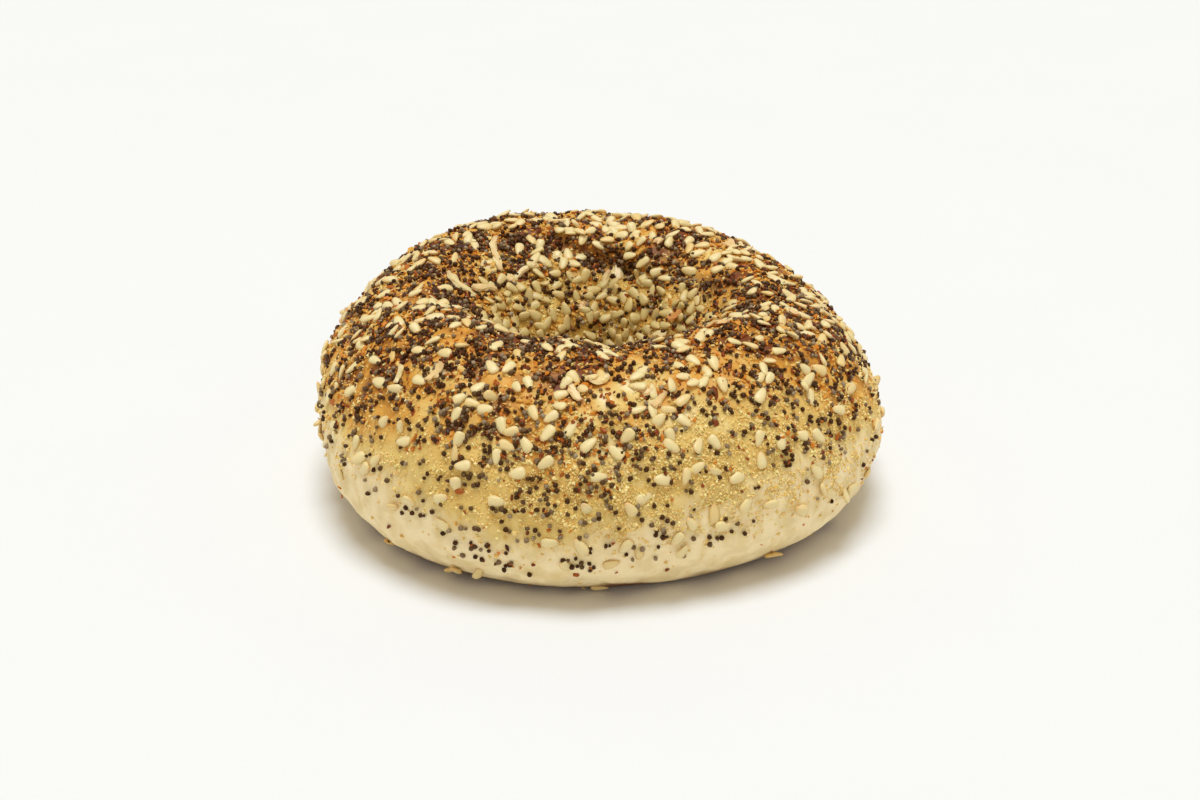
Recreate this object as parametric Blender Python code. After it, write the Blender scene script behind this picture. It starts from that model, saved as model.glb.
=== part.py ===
"""An everything bagel: a boiled and baked ring of dough, sesame seeds and onion flakes stuck to its crust.

Metres, +Z up, the table at z = 0 under it, the origin in the middle of the hole.
Any point of the dough is named by two angles. Turn runs round the hole from +X, and roll
runs round the ring's section: 0 at the widest line, a quarter turn at the crest, a half
turn in the hole, and minus a quarter turn underneath.
"""

import math

import bmesh
import bpy
import numpy as np
from mathutils import Matrix

MM = 0.001

# The ring of dough
WIDTH = 105 * MM
HEIGHT = 39.5 * MM
CREST_RADIUS = 31.5 * MM
EQUATOR_HEIGHT = 14.5 * MM
THROAT_RADIUS = 10.5 * MM
THROAT_HEIGHT = 12.5 * MM
# The hole is wider from left to right than from front to back, and lies a little to the right
HOLE_OVAL = 1.8 * MM
HOLE_SHIFT = 1.3 * MM
# How much wider than a quarter ellipse the hollow is at its left and right, between throat and crest
HOLLOW = 0.5
# The roll below the widest line at which the table has pressed the dough flat
BASE_ROLL = math.radians(56)
# What brings the middle of the finished outline back over the origin
CENTRING = (-1.36 * MM, -0.89 * MM)

# How the baked ring departs from a perfect one
OVAL = 0.027
OVAL_TURN = math.radians(-48)
THREE_SIDED = 0.032
THREE_SIDED_TURN = math.radians(-12)
HIGH_SIDE = 0.7 * MM
HIGH_SIDE_TURN = math.radians(120)
# (height of the lump, waves round the hole, waves round the section, shift of the waves)
LUMPS = (
    (0.45 * MM, 3, 2, 0.8),
    (0.35 * MM, 5, 1, 2.1),
    (0.30 * MM, 7, 3, 4.0),
    (0.22 * MM, 11, 2, 5.3),
)
# Gentle swellings and dips of the upper half: (height, turn in degrees)
SWELLINGS = (
    (1.5 * MM, -132),
    (0.4 * MM, -90),
    (0.8 * MM, -50),
    (-1.1 * MM, 10),
    (0.8 * MM, 58),
    (-0.8 * MM, 96),
    (0.8 * MM, 132),
    (-1.3 * MM, 180),
)
SWELLING_SPREAD = math.radians(14)
# A fold down the wall of the hole, where the two ends of the rope of dough were joined
FOLD_DEPTH = 2.6 * MM
FOLD_TURN = math.radians(79)
FOLD_SPREAD = math.radians(9)

# The mesh of the ring
STEPS_ROUND_HOLE = 60
STEPS_ROUND_SECTION = 24
TORUS_SECTION = 20 * MM

# Sesame seeds
SEED_LENGTH = 3.2 * MM
SEED_WIDTH = 2.2 * MM
SEED_THICKNESS = 1.1 * MM
SEED_TAPER = 0.2
SEED_BLUNT = 0.2
SEED_LIFT = -0.03 * MM
SEED_SIZE_SPREAD = 0.09
SEED_LEAN = math.radians(9)
SEED_SIDES = 6
SEED_RINGS = 3
SEED_COUNT = 190
SEED_GAP = 4.6 * MM
SEED_DRAW = 17

# Toppings thin out below this roll, which wanders round the bagel
TOPPED_ROLL = math.radians(-14)
TOPPED_WANDER = math.radians(13)
TOPPED_FADE = math.radians(15)
# They thin out down in the hole too
HOLE_ROLL = math.radians(196)

# Onion flakes: (turn, roll, spin on the crust, length, width), in degrees and metres
ONION_FLAKES = (
    (137, 112, 60, 8.5 * MM, 1.5 * MM),
    (130, 125, 15, 6.0 * MM, 1.3 * MM),
    (82, 131, 92, 6.5 * MM, 1.3 * MM),
    (12, 76, 40, 5.0 * MM, 2.0 * MM),
    (318, 98, 120, 4.5 * MM, 1.8 * MM),
    (232, 60, 75, 4.2 * MM, 1.7 * MM),
)
ONION_THICKNESS = 1.1 * MM

CRUST_COLOUR = (0.62, 0.36, 0.13, 1.0)
CRUST_ROUGHNESS = 0.6


def hill(turn, middle, spread):
    """A smooth hill of height 1 at one turn, falling to nothing over the spread either side."""
    away = np.arctan2(np.sin(turn - middle), np.cos(turn - middle))
    return np.exp(-0.5 * (away / spread) ** 2)


def dough(turn, roll):
    """Points of the dough's surface: four quarter ellipses make the section, which the table cuts flat."""
    turn, roll = np.broadcast_arrays(np.asarray(turn, float), np.asarray(roll, float))
    side, rise = np.cos(roll), np.sin(roll)
    outer = side > 0
    middle = np.where(outer, EQUATOR_HEIGHT, THROAT_HEIGHT)
    throat = THROAT_RADIUS + HOLE_OVAL * np.cos(2 * turn) + HOLE_SHIFT * np.cos(turn)
    reach = np.where(outer, WIDTH / 2 - CREST_RADIUS, CREST_RADIUS - throat)
    half_height = np.where(rise > 0, HEIGHT - middle, middle / math.sin(BASE_ROLL))
    # The quarter ellipse between throat and crest is drawn back towards the crest, most half way up.
    hollow = np.where(outer | (rise < 0), 0, HOLLOW * np.cos(turn) ** 2 * (1 + side))
    radius = CREST_RADIUS + reach * side * (1 - hollow)
    height = middle + half_height * rise

    uneven = OVAL * np.cos(2 * (turn - OVAL_TURN))
    uneven = uneven + THREE_SIDED * np.cos(3 * (turn - THREE_SIDED_TURN))
    radius = radius * (1 + uneven)
    height = height + HIGH_SIDE * np.cos(turn - HIGH_SIDE_TURN) * height / HEIGHT

    lump = np.zeros_like(radius)
    for size, round_hole, round_section, shift in LUMPS:
        lump = lump + size * np.sin(round_hole * turn + shift) * np.cos(round_section * roll + shift)
    for size, middle in SWELLINGS:
        lump = lump + size * hill(turn, math.radians(middle), SWELLING_SPREAD) * np.clip(rise, 0, 1) ** 2
    lump = lump - FOLD_DEPTH * hill(turn, FOLD_TURN, FOLD_SPREAD) * np.clip(-side, 0, 1)
    # Nothing stands out where the dough was pressed on the table.
    lump = lump * np.clip((rise + 0.95) / 0.7, 0, 1)
    radius = radius + lump * side
    height = np.maximum(height + lump * rise, 0)
    east = radius * np.cos(turn) + CENTRING[0]
    north = radius * np.sin(turn) + CENTRING[1]
    return np.stack([east, north, height], axis=-1)


def crust_frame(turn, roll):
    """At a point of the crust: the point, the way along the turn, the way up the roll and the way out."""
    step = 1e-4
    along = dough(turn + step, roll) - dough(turn - step, roll)
    up = dough(turn, roll + step) - dough(turn, roll - step)
    out = np.cross(along, up)
    along = along / np.linalg.norm(along, axis=-1, keepdims=True)
    out = out / np.linalg.norm(out, axis=-1, keepdims=True)
    return dough(turn, roll), along, np.cross(out, along), out


def topping_share(turn, roll):
    """How thickly toppings lie, 0 to 1: full over the crest, thinning low on the side and in the hole."""
    edge = TOPPED_ROLL + TOPPED_WANDER * (0.6 * np.sin(2 * turn + 1.1) + 0.4 * np.sin(5 * turn + 0.4))
    low = np.clip((roll - edge) / TOPPED_FADE, 0, 1)
    deep = np.clip((HOLE_ROLL - roll) / (2 * TOPPED_FADE), 0, 1)
    return low * low * (3 - 2 * low) * deep


def scatter(draw, count, gap):
    """Turns and rolls of toppings drawn at random over the crust by area, no two nearer than the gap."""
    # A place far from the middle is one of a longer way round, so it is kept more often.
    farthest = WIDTH / 2 * (1 + OVAL + THREE_SIDED)
    found, places = [], np.empty((0, 3))
    while len(found) < count:
        turn = draw.uniform(-math.pi, math.pi)
        roll = draw.uniform(-math.pi / 3, 7 * math.pi / 6)
        place = dough(turn, roll)
        chance = np.hypot(place[0], place[1]) / farthest * topping_share(turn, roll)
        if draw.random() > chance:
            continue
        if len(places) and np.linalg.norm(places - place, axis=1).min() < gap:
            continue
        found.append((turn, roll))
        places = np.vstack([places, place])
    return found


def resting_matrix(turn, roll, spin, lift, lean=0.0):
    """Lays a topping on the crust, its length turned by spin from the way round the hole."""
    place, along, up, out = crust_frame(turn, roll)
    length_way = math.cos(spin) * along + math.sin(spin) * up
    across = np.cross(out, length_way)
    base = Matrix(np.column_stack([length_way, across, out]).tolist()).to_4x4()
    return Matrix.Translation((place + lift * out).tolist()) @ base @ Matrix.Rotation(lean, 4, "Y")


def crust_material():
    material = bpy.data.materials.new("baked_crust")
    material.use_nodes = True
    shader = material.node_tree.nodes["Principled BSDF"]
    shader.inputs["Base Color"].default_value = CRUST_COLOUR
    shader.inputs["Roughness"].default_value = CRUST_ROUGHNESS
    shader.inputs["Metallic"].default_value = 0.0
    return material


def make_dough(collection, material):
    """The ring: a torus whose two angles are read off each corner and sent through the dough's own shape."""
    bpy.ops.mesh.primitive_torus_add(
        major_segments=STEPS_ROUND_HOLE,
        minor_segments=STEPS_ROUND_SECTION,
        major_radius=CREST_RADIUS,
        minor_radius=TORUS_SECTION,
    )
    ring = bpy.context.object
    ring.name = "bagel"
    for vertex in ring.data.vertices:
        turn = math.atan2(vertex.co.y, vertex.co.x)
        roll = math.atan2(vertex.co.z, math.hypot(vertex.co.x, vertex.co.y) - CREST_RADIUS)
        if roll < -math.pi / 2 - 1e-6:
            roll += 2 * math.pi
        vertex.co = dough(turn, roll).tolist()
    ring.data.materials.append(material)
    for owner in list(ring.users_collection):
        owner.objects.unlink(ring)
    collection.objects.link(ring)
    return ring


def seed_mesh(name, length, width, thickness, taper):
    """A flat drop: a few-sided ball laid along X, narrower towards +X."""
    shape = bmesh.new()
    bmesh.ops.create_uvsphere(shape, u_segments=SEED_SIDES, v_segments=SEED_RINGS, radius=1.0)
    bmesh.ops.rotate(shape, verts=shape.verts, matrix=Matrix.Rotation(math.pi / 2, 3, "Y"))
    for vertex in shape.verts:
        narrow = 1 - taper * (vertex.co.x + 0.3)
        blunt = vertex.co.x - SEED_BLUNT * (1 - vertex.co.x**2)
        vertex.co.x = blunt * length / 2
        vertex.co.y *= narrow * width / 2
        vertex.co.z *= narrow * thickness / 2
    mesh = bpy.data.meshes.new(name)
    shape.to_mesh(mesh)
    shape.free()
    return mesh


def add_topping(collection, name, mesh, matrix):
    topping = bpy.data.objects.new(name, mesh)
    topping.matrix_world = matrix
    collection.objects.link(topping)


def add_sesame(collection):
    draw = np.random.default_rng(SEED_DRAW)
    mesh = seed_mesh("sesame", SEED_LENGTH, SEED_WIDTH, SEED_THICKNESS, SEED_TAPER)
    for number, (turn, roll) in enumerate(scatter(draw, SEED_COUNT, SEED_GAP)):
        spin = draw.uniform(0, 2 * math.pi)
        lean = draw.uniform(-SEED_LEAN, SEED_LEAN)
        size = 1 + draw.uniform(-SEED_SIZE_SPREAD, SEED_SIZE_SPREAD)
        matrix = resting_matrix(turn, roll, spin, SEED_LIFT, lean) @ Matrix.Scale(size, 4)
        add_topping(collection, f"sesame_{number:03d}", mesh, matrix)


def add_onion(collection):
    for number, (turn, roll, spin, length, width) in enumerate(ONION_FLAKES):
        mesh = seed_mesh(f"onion_{number}", length, width, ONION_THICKNESS, 0.1)
        turn, roll, spin = (math.radians(angle) for angle in (turn, roll, spin))
        add_topping(collection, f"onion_{number}", mesh, resting_matrix(turn, roll, spin, 0.0))


def fuse_toppings(ring, toppings):
    """One union of the ring with every topping, applied, after which the loose toppings go."""
    fuse = ring.modifiers.new("fuse_toppings", "BOOLEAN")
    fuse.operation = "UNION"
    fuse.operand_type = "COLLECTION"
    fuse.collection = toppings
    bpy.context.view_layer.update()
    graph = bpy.context.evaluated_depsgraph_get()
    fused = bpy.data.meshes.new_from_object(ring.evaluated_get(graph))
    ring.modifiers.clear()
    ring.data = fused
    for topping in list(toppings.objects):
        bpy.data.objects.remove(topping)
    bpy.data.collections.remove(toppings)


def main():
    for old in list(bpy.data.objects):
        bpy.data.objects.remove(old)
    bagel = bpy.data.collections.new("everything_bagel")
    toppings = bpy.data.collections.new("toppings")
    for collection in (bagel, toppings):
        bpy.context.scene.collection.children.link(collection)
    ring = make_dough(bagel, crust_material())
    add_sesame(toppings)
    add_onion(toppings)
    fuse_toppings(ring, toppings)


main()
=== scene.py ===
"""The looks of an everything bagel, laid out as a Blender add-on and run as a script.

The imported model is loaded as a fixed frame. The dough's crust takes the place of its one node, and sesame
and poppy seeds, bits of onion and garlic, fine golden granules and onion flakes are strewn over it. Metres,
+Z up, the table at z = 0. Any point of the dough is named by two angles. Turn runs round the hole from +X.
Roll runs round the ring's section: 0 at the widest line, a quarter turn at the crest, a half turn in the hole
and minus a quarter turn underneath.
"""

import math

import bpy
import numpy as np
from bpy.props import FloatProperty, FloatVectorProperty, IntProperty, PointerProperty
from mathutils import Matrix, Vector


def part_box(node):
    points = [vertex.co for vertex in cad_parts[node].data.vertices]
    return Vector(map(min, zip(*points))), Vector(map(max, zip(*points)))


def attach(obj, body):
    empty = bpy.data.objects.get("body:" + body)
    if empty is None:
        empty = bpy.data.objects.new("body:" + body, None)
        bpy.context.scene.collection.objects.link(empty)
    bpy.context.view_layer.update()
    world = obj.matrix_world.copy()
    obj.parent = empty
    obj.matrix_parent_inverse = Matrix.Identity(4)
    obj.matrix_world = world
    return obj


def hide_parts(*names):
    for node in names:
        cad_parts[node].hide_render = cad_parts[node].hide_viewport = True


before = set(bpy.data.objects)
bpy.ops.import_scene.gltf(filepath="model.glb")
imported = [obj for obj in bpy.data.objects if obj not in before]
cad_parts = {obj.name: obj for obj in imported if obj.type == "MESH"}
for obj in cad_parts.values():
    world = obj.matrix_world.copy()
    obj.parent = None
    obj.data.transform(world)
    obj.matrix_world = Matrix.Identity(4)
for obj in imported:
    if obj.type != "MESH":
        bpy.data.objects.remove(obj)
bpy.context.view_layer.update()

bl_info = {
    "name": "Everything Bagel",
    "version": (1, 0, 0),
    "blender": (4, 5, 0),
    "location": "View3D > Sidebar > Bagel",
    "description": "Builds a baked bagel crust with seeds, toasted bits and granules strewn over it",
    "category": "Add Mesh",
}

MM = 0.001
BAGEL_LOW, BAGEL_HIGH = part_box("bagel")
BAGEL_WIDTH = BAGEL_HIGH.x - BAGEL_LOW.x
# Toppings stay under this height, a little over the solid's own
TOPPING_TOP = BAGEL_HIGH.z + 0.8 * MM

# The dough's lumps: (height, waves round the hole, waves round the section, shift of the waves)
LUMPS = (
    (0.45 * MM, 3, 2, 0.8),
    (0.35 * MM, 5, 1, 2.1),
    (0.30 * MM, 7, 3, 4.0),
    (0.22 * MM, 11, 2, 5.3),
)
# Gentle swellings and dips of its upper half: (height, turn in degrees), and how wide each is in degrees
SWELLINGS = (
    (1.5 * MM, -132),
    (0.4 * MM, -90),
    (0.8 * MM, -50),
    (-1.1 * MM, 10),
    (0.8 * MM, 58),
    (-0.8 * MM, 96),
    (0.8 * MM, 132),
    (-1.3 * MM, 180),
)
SWELLING_SPREAD = 14
CENTRING = (-1.36 * MM, -0.89 * MM)
# The crust's fine relief: (height, length of its ripples)
RELIEF = ((0.16 * MM, 7.0 * MM), (0.07 * MM, 3.2 * MM), (0.035 * MM, 1.5 * MM))
# The lip that hangs over the back wall of the hollow, where the dough was folded in: angles in degrees
LIP_TURN = 83
LIP_SPREAD = 22
LIP_ROLL = 119
LIP_SLANT = -0.35
LIP_GROOVE = 2.4 * MM
LIP_SWELLING = 1.0 * MM
# Upright ridges down the wall of the hollow
RIDGES = 0.35 * MM
RIDGES_ROUND = 13

# A dry surface glares little
DRY = {"Specular IOR Level": 0.28}

# The mesh of the crust
STEPS_ROUND_HOLE = 440
STEPS_ROUND_SECTION = 220

# Toppings thin out below this roll, which wanders round the bagel, and down in the hole
TOPPED_ROLL = math.radians(-14)
TOPPED_WANDER = math.radians(13)
TOPPED_FADE = math.radians(15)
HOLE_ROLL = math.radians(196)
TOPPED_SINK = 0.35 * MM
# They grow thick at this roll, which wanders too
DENSE_ROLL = math.radians(27)
DENSE_WANDER = math.radians(8)

# Where poppy seeds lie thicker than elsewhere, or thinner: (turn, roll, spread) in degrees, then by how much
POPPY_PATCHES = (
    (-136, 66, 5, 0.40),
    (-128, 70, 5, 0.60),
    (-122, 74, 5, 0.45),
    (-141, 87, 6, 0.45),
    (-149, 72, 5, 0.40),
    (-118, 48, 6, 0.55),
    (-143, 37, 6, 0.08),
    (-117, 88, 6, 0.28),
    (-102, 93, 8, 0.50),
    (-103, 80, 5, 0.10),
    (-94, 79, 5, 0.12),
    (-78, 97, 7, 0.30),
    (-67, 70, 6, 0.14),
    (-107, 41, 6, 0.25),
    (-112, 36, 6, 0.06),
    (-94, 42, 6, 0.34),
    (-92, 30, 5, 0.46),
    (-81, 32, 5, 0.14),
    (-105, 15, 6, 0.05),
    (-106, -9, 6, 0.04),
    (-83, 44, 5, 0.24),
    (-72, 53, 5, 0.22),
    (-52, 60, 6, 0.40),
    (-46, 77, 7, -0.12),
    (-54, 46, 7, 0.14),
    (-43, 30, 8, 0.12),
    (-29, 60, 8, 0.06),
    (-45, 98, 9, 0.14),
    (-28, 90, 12, 0.30),
    (-147, 62, 8, 0.25),
    (178, 72, 10, 0.12),
    (2, 101, 12, 0.40),
    (66, 100, 14, 0.08),
    (104, 90, 18, -0.17),
    (30, 86, 16, -0.26),
    # The next two rows thicken the poppy seeds in the dark band under the back lip: partly the real seeds
    # there, partly standing in for its shade
    (122, 108, 13, 0.45),
    (134, 117, 9, 0.80),
    (151, 121, 6, 0.40),
    (155, 108, 12, 0.18),
)
# Where the crust is nearly bare: the same angles, then the share of the toppings that is missing
BARE_PATCHES = (
    (-131, 79, 5, 0.75),
    (-131, 57, 6, 0.70),
    (-108, 64, 6, 0.75),
    (-98, 70, 4, 0.50),
    (-90, 60, 5, 0.40),
    (-152, 50, 6, 0.50),
    (-73, 86, 5, 0.70),
    (-60, 66, 5, 0.60),
    (-71, 42, 6, 0.60),
    (-58, 38, 5, 0.40),
    (176, 92, 6, 0.40),
)
# Where sesame lies thicker than elsewhere, or thinner: the same angles, then by how much
SESAME_PATCHES = (
    (-80, 60, 12, 0.55),
    (-56, 66, 9, 0.45),
    (-18, 68, 14, 0.50),
    (-163, 74, 8, 0.55),
    (170, 108, 10, -0.35),
    (158, 117, 9, -0.30),
    (8, 110, 12, -0.30),
    (26, 119, 9, -0.25),
    (-36, 58, 7, 0.25),
    (-112, 51, 6, 0.35),
    (85, 78, 40, 0.45),
    (45, 92, 14, 0.25),
    (-93, 32, 7, -0.10),
    (134, 117, 9, -0.60),
)
# Where the crust is browner than elsewhere, or paler: the same angles, then by how much
DARK_PATCHES = (
    # The first row darkens the wall just under the back lip: painted shade
    (122, 114, 13, 0.25),
    (-10, 92, 16, 0.12),
    (-115, 86, 14, 0.12),
    (-84, 56, 14, -0.16),
    (-66, 40, 17, -0.18),
    (-131, 56, 8, -0.14),
    (-144, 33, 8, 0.24),
    (-72, 28, 12, -0.40),
    (-54, 46, 9, 0.12),
    (-122, 15, 11, -0.14),
    (-106, 26, 7, -0.08),
    (-138, 27, 8, 0.08),
    (98, 92, 24, -0.14),
)

# The sesame seeds that the solid has too: drawn first, by the solid's own rule
SHARED_SEEDS = 190
SHARED_GAP = 4.6 * MM
SHARED_DRAW = 17
SHARED_LIFT = 0.30 * MM
SEED_TAPER = 0.2
SEED_BLUNT = 0.2
# Seeds caught low on the side, near the table: (turn, roll, spin) in degrees
LOW_SEEDS = (
    (-136, -34, 70), (-121, -44, 30), (-119, -38, 95), (-113, -34, 60), (-86, -16, 5), (-88, -50, 8),
    (-49, -38, 15),
)
# The long onion flakes, the solid's six first: (turn, roll, spin) in degrees, then length and width
ONION_FLAKES = (
    (137, 112, 60, 8.5 * MM, 1.5 * MM),
    (130, 125, 15, 6.0 * MM, 1.3 * MM),
    (82, 131, 92, 6.5 * MM, 1.3 * MM),
    (12, 76, 40, 5.0 * MM, 2.0 * MM),
    (318, 98, 120, 4.5 * MM, 1.8 * MM),
    (232, 60, 75, 4.2 * MM, 1.7 * MM),
    (168, 115, 84, 7.5 * MM, 1.9 * MM),
    (160, 124, 150, 6.5 * MM, 1.5 * MM),
    (78, 119, 96, 5.5 * MM, 1.8 * MM),
)

# The number that starts the random draws of each kind
DRAWS = {
    "more_sesame": 31,
    "sesame": 32,
    "poppy": 41,
    "onion_bits": 51,
    "garlic_bits": 52,
    "golden_granules": 61,
    "onion_flakes": 71,
}
# The least distance between two toppings of a kind, and from the sesame that was laid before them
SEED_GAP, SEED_CLEAR = 1.6 * MM, 1.9 * MM
HOLLOW_GAP, HOLLOW_CLEAR = 1.3 * MM, 1.5 * MM
POPPY_GAP, POPPY_CLEAR = 0.60 * MM, 0.95 * MM
BIT_GAP = 0.40 * MM
FLAKE_GAP = 3 * MM
# Toppings are drawn in batches of this many, at most this many times
BATCH = 3000
MOST_BATCHES = 20000
# The size of the hollow's small sesame beside the rest
HOLLOW_SEED_SIZE = 0.86
# How far sesame leans along itself and tilts across itself, the shared seeds less
SHARED_LEAN, SHARED_TILT = math.radians(9), math.radians(8)
SEED_LEAN, SEED_TILT = math.radians(17), math.radians(18)
# How pale the bits are before the brown of the crust under them darkens them
ONION_PALENESS = 0.74
GARLIC_PALENESS = 0.90


def paint(red, green, blue):
    """A colour as the eye numbers it, 0 to 255 a channel, made the linear values that shaders take."""
    parts = np.array([red, green, blue]) / 255
    return tuple(np.where(parts > 0.04045, ((parts + 0.055) / 1.055) ** 2.4, parts / 12.92).tolist())


def length(name, description, default):
    return FloatProperty(name=name, description=description, default=default, unit="LENGTH", precision=5)


def angle(name, description, degrees):
    default = math.radians(degrees)
    return FloatProperty(name=name, description=description, default=default, unit="ROTATION")


def decimal(name, description, default):
    return FloatProperty(name=name, description=description, default=default)


def whole(name, description, default):
    return IntProperty(name=name, description=description, default=default)


def colour(name, description, default):
    return FloatVectorProperty(name=name, description=description, default=default, subtype="COLOR", size=3)


class BagelDough(bpy.types.PropertyGroup):
    width: length("Width", "Outer width of the ring of dough", 105 * MM)
    height: length("Height", "Height of the dough at its crest", 39.5 * MM)
    crest_radius: length("Crest radius", "From the middle of the hole to the crest", 31.5 * MM)
    equator_height: length("Equator height", "Height of the widest line", 14.5 * MM)
    throat_radius: length("Throat radius", "Radius of the hole at its narrowest", 10.5 * MM)
    throat_height: length("Throat height", "Height of the hole's narrowest line", 12.5 * MM)
    hole_oval: length("Hole oval", "How much wider the hole is from left to right", 1.8 * MM)
    hole_shift: length("Hole shift", "How far right the hole lies", 1.3 * MM)
    hollow: decimal("Hollow", "Share by which the hollow is widened", 0.5)
    base_roll: angle("Base roll", "Roll below the widest line at which the table cuts the dough", 56)
    oval: decimal("Oval", "Share by which the ring is oval", 0.027)
    oval_turn: angle("Oval turn", "Turn of the oval's long axis", -48)
    three_sided: decimal("Three-sided", "Share of three-sidedness", 0.032)
    three_sided_turn: angle("Three-sided turn", "Turn of one of its three corners", -12)
    high_side: length("High side", "How much higher one side has risen", 0.7 * MM)
    high_side_turn: angle("High side turn", "Turn of the side that rose higher", 120)
    fold_depth: length("Fold depth", "Depth of the fold down the wall of the hole", 2.6 * MM)
    fold_turn: angle("Fold turn", "Turn at which the two ends of the dough were joined", 79)
    fold_spread: angle("Fold spread", "How wide the fold is", 9)


class BagelToppings(bpy.types.PropertyGroup):
    seed_length: length("Sesame length", "Length of a sesame seed", 3.2 * MM)
    seed_width: length("Sesame width", "Width of a sesame seed", 2.2 * MM)
    seed_thickness: length("Sesame thickness", "Thickness of a sesame seed", 0.95 * MM)
    more_seeds: whole("More sesame", "Sesame seeds beside the shared ones", 600)
    hollow_seeds: whole("Hollow sesame", "Small seeds packed in the hollow", 130)
    poppy_size: length("Poppy size", "Width of a poppy seed", 0.96 * MM)
    poppy_count: whole("Poppy seeds", "How many poppy seeds", 4300)
    bit_size: length("Bit size", "Usual width of a bit of onion or garlic", 0.72 * MM)
    onion_bit_count: whole("Onion bits", "How many toasted onion bits", 7800)
    garlic_bit_count: whole("Garlic bits", "How many golden garlic bits", 7000)
    granule_size: length("Granule size", "Usual width of a golden granule", 0.50 * MM)
    granule_count: whole("Granules", "How many golden granules", 20000)
    onion_thickness: length("Onion thickness", "Thickness of an onion flake", 0.8 * MM)
    onion_count: whole("Small onion flakes", "How many small flakes", 60)


class BagelColours(bpy.types.PropertyGroup):
    pale_dough: colour("Pale dough", "Low on the side, where the crust hardly browned", paint(253, 232, 184))
    golden_crust: colour("Golden crust", "Between the pale side and the toasted top", paint(230, 198, 116))
    olive_crust: colour("Olive crust", "Duller patches of the golden crust", paint(210, 184, 108))
    toasted_crust: colour("Toasted crust", "The top of the bagel", paint(222, 156, 56))
    brown_crust: colour("Brown crust", "The darkest toasted places", paint(122, 60, 14))
    hole_crust: colour("Hole crust", "The wall of the hole", paint(222, 184, 94))
    # Browned underside and base line, darkened further as painted contact shade where the bagel meets the
    # table
    base_crust_and_contact_shade: colour("Base crust", "The underside and the line where the side meets it", paint(112, 62, 24))
    sesame: colour("Sesame", "Hulled sesame seed", paint(236, 217, 160))
    sesame_toasted: colour("Toasted sesame", "The most toasted sesame seeds", paint(228, 188, 104))
    # Painted shade: a darker, yellower copy of the sesame for the seeds down in the hollow
    shaded_hollow_sesame: colour("Deep sesame", "Sesame down in the hollow, steamed yellower", paint(208, 184, 116))
    poppy_dark: colour("Dark poppy", "The darkest poppy seeds", paint(66, 36, 10))
    poppy_slate: colour("Slate poppy", "Slate-grey poppy seeds", paint(112, 86, 56))
    poppy_grey: colour("Grey poppy", "The palest poppy seeds", paint(164, 144, 114))
    bit_dark: colour("Dark bits", "The most burnt onion", paint(66, 28, 8))
    bit_red: colour("Red-brown bits", "Well toasted onion", paint(152, 70, 12))
    bit_orange: colour("Orange bits", "Lightly toasted onion and garlic", paint(214, 126, 26))
    bit_gold: colour("Golden bits", "Golden garlic", paint(222, 168, 70))
    bit_pale: colour("Pale bits", "Garlic and onion that stayed pale", paint(232, 202, 124))
    granule_gold: colour("Golden granules", "Fine golden granules", paint(228, 186, 94))
    granule_pale: colour("Pale granules", "The palest granules", paint(252, 230, 158))
    onion: colour("Onion flakes", "Dried onion, pale straw", paint(238, 216, 156))


class BagelStage(bpy.types.PropertyGroup):
    elevation: angle("Elevation", "How far above the horizon the camera stands", 25.5)
    distance: length("Distance", "From the camera to its target", 400 * MM)
    lens: decimal("Lens", "Focal length in millimetres on a 36 mm sensor", 64.4)
    target_height: length("Target height", "Height of the point that the camera looks at", 18 * MM)
    target_side: length("Target side", "How far right of the middle the camera looks", 0.25 * MM)
    target_front: length("Target front", "How far in front of the middle the camera looks", 5.65 * MM)
    floor_colour: colour("Floor", "Plain pale floor", paint(232, 232, 231))
    sky_colour: colour("Sky", "Soft light from all round", paint(255, 244, 224))
    sky_strength: decimal("Sky strength", "Strength of the light all round", 0.60)
    lamp_colour: colour("Lamp", "The overhead light, a little cooler than the sky", paint(233, 243, 255))
    lamp_strength: decimal("Lamp strength", "Strength of the overhead light", 2.34)
    lamp_spread: angle("Lamp spread", "How wide the overhead light is, seen from the bagel", 26)


def smooth(value, start, end):
    """0 at the start, 1 at the end: 3 t squared less 2 t cubed, with t the share of the way between them."""
    way = np.clip((value - start) / (end - start), 0, 1)
    return way * way * (3 - 2 * way)


def climb(roll, start, end, edge=0.0):
    """The same easing over the roll, its start and end in degrees from an edge."""
    return smooth(roll, edge + math.radians(start), edge + math.radians(end))


def bell(away, spread):
    """A smooth hill of height 1 in the middle: e to the power of minus half of (away over spread) squared."""
    return np.exp(-0.5 * (away / spread) ** 2)


def away_from(angles, middle):
    """How far the angles lie from the middle, the short way round."""
    return np.arctan2(np.sin(angles - middle), np.cos(angles - middle))


def hill(angles, middle, spread):
    """The same hill over angles that go round, its middle and spread in degrees."""
    return bell(away_from(angles, math.radians(middle)), math.radians(spread))


def ripples(points, wavelength, draw_number, waves=26):
    """Smooth unevenness over space, about -1 to 1: plane waves of near this length in random ways, summed."""
    draw = np.random.default_rng(draw_number)
    ways = draw.normal(size=(waves, 3))
    ways /= np.linalg.norm(ways, axis=1, keepdims=True)
    pitches = 2 * math.pi / (wavelength * draw.uniform(0.7, 1.5, waves))
    shifts = draw.uniform(0, 2 * math.pi, waves)
    total = np.zeros(points.shape[:-1])
    for way, pitch, shift in zip(ways, pitches, shifts):
        total += np.sin(points @ way * pitch + shift)
    return total / math.sqrt(waves / 2)


def gathering(points, level, *waves):
    """How toppings gather: e to the power of a level and ripples, each a strength, a length in mm, a draw."""
    return np.exp(sum(strength * ripples(points, size * MM, draw) for strength, size, draw in waves) + level)


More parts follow.
